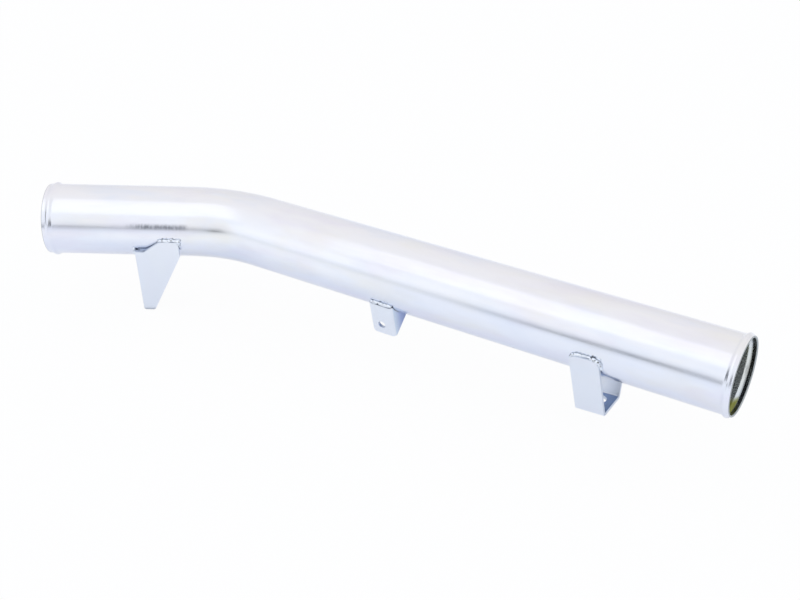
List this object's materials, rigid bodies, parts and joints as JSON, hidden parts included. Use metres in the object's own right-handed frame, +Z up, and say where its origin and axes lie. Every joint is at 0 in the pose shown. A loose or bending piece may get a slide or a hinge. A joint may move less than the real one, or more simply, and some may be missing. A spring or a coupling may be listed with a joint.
{
  "type": "suction pipe",
  "caption": "Bent zinc-plated steel suction pipe for an engine bay, with rolled hose beads at its ends and folded sheet brackets welded to its front and underside.",
  "frame": {"origin": "centre of the mouth at the end of the long run", "axes": "+X out of that mouth along the long run, the bend in the XY plane with the tail turning towards -Y, +Z up, away from the brackets"},
  "size_m": [0.6074, 0.1384, 0.1099],
  "materials": {
    "zinc_tube": "bright zinc plating on drawn steel tube, soft gloss",
    "zinc_sheet": "bright zinc plating on folded steel sheet",
    "weld": "weld beads, plated over"
  },
  "bodies": {
    "root": {"pipe": "zinc_tube", "tail_bracket": "zinc_sheet", "middle_bracket": "zinc_sheet", "foot_bracket": "zinc_sheet", "tail_face_weld": "weld", "tail_flange_weld": "weld", "middle_face_weld": "weld", "foot_front_weld": "weld", "foot_rear_weld": "weld"}
  },
  "joints": []
}
